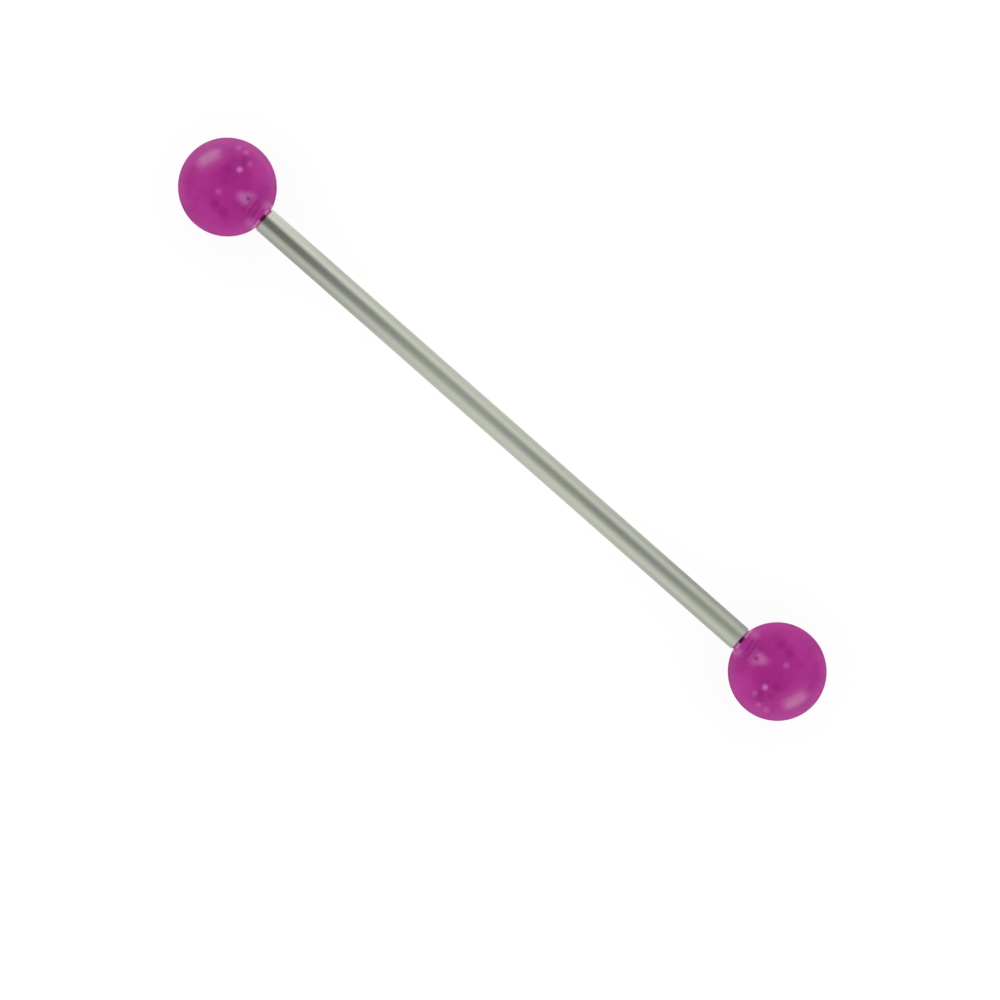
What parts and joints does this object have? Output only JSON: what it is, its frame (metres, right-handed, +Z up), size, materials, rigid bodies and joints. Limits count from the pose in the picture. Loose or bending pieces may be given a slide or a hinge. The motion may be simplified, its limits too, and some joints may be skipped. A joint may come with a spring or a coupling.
{
  "type": "industrial barbell",
  "caption": "Long straight body-jewellery barbell: a slim polished steel bar with threaded posts at its ends and a translucent magenta acrylic ball screwed onto each post.",
  "frame": {"origin": "the middle of the bar, on its axis", "axes": "+X along the bar towards the right ball, +Z up from the surface that both balls rest on, 3 mm under the axis"},
  "size_m": [0.0506, 0.006, 0.006],
  "materials": {
    "steel": "satin",
    "magenta_acrylic": "gloss"
  },
  "bodies": {
    "bar": {"bar": "steel"},
    "left_ball": {"left_ball": "magenta_acrylic"},
    "right_ball": {"right_ball": "magenta_acrylic"}
  },
  "joints": [
    {"name": "left_ball_off", "type": "slide", "parent": "bar", "child": "left_ball", "axis": [-1, 0, 0], "range_m": [0, 0.012]},
    {"name": "right_ball_off", "type": "slide", "parent": "bar", "child": "right_ball", "axis": [1, 0, 0], "range_m": [0, 0.012]}
  ]
}
